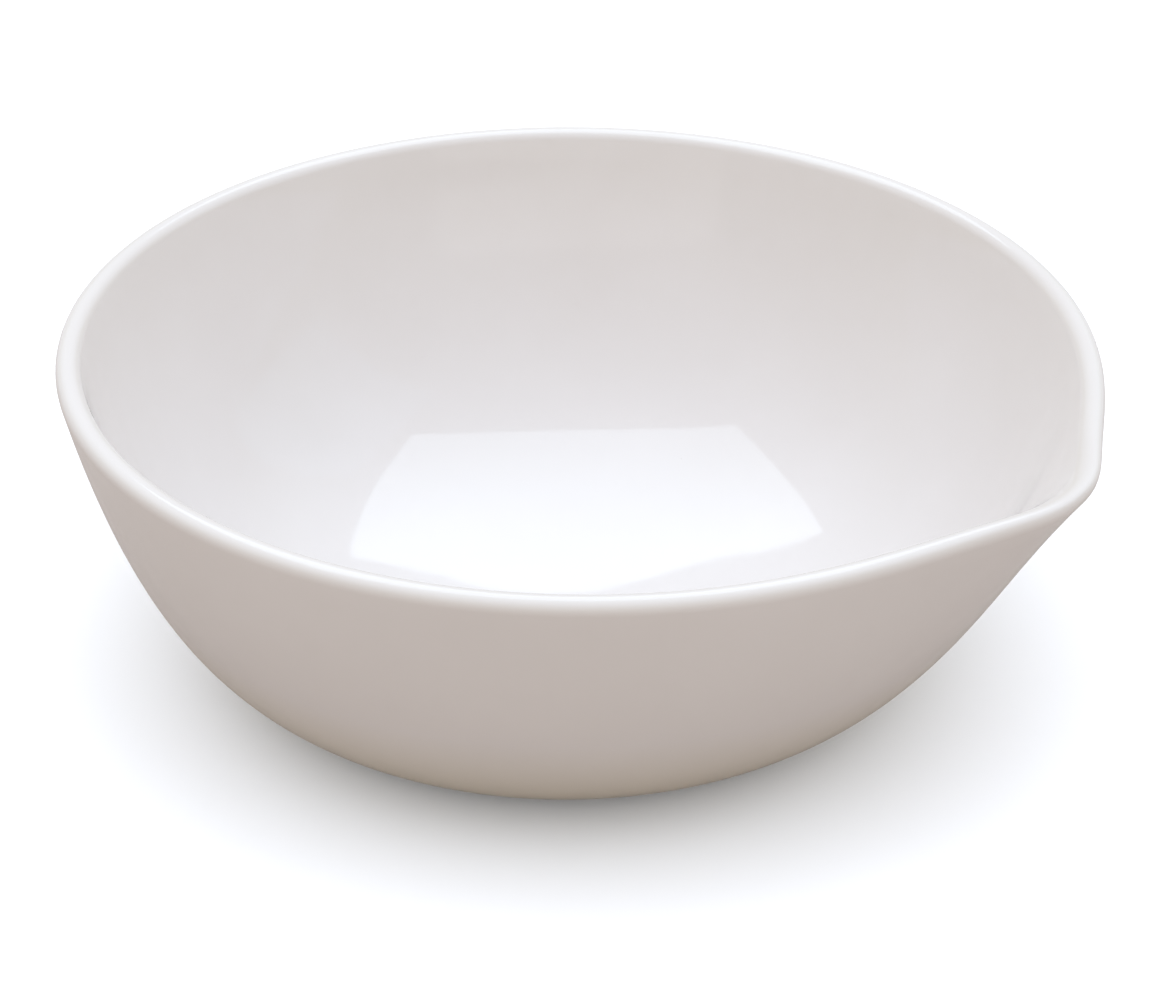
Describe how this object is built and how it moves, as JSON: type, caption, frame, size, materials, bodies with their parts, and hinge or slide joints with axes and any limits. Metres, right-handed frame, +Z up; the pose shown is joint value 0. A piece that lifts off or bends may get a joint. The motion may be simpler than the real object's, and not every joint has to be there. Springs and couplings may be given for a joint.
{
  "type": "porcelain evaporating dish",
  "caption": "Shallow flat-bottomed porcelain evaporating dish with a thin rounded rim and one drawn pouring lip, glazed inside and out except on its foot.",
  "frame": {"origin": "centre of the foot's underside, on the axis that the bowl was turned about", "axes": "+Z up along the bowl's axis, +X towards the pouring lip, +Y to the left of someone looking along +X"},
  "size_m": [0.1049, 0.1002, 0.0357],
  "materials": {
    "bare_porcelain": "unglazed fired porcelain, fine matt grain, ground flat on the foot",
    "glaze": "clear glossy glaze on white porcelain"
  },
  "bodies": {
    "root": {"porcelain_body": "bare_porcelain", "glaze_coat": "glaze"}
  },
  "joints": []
}
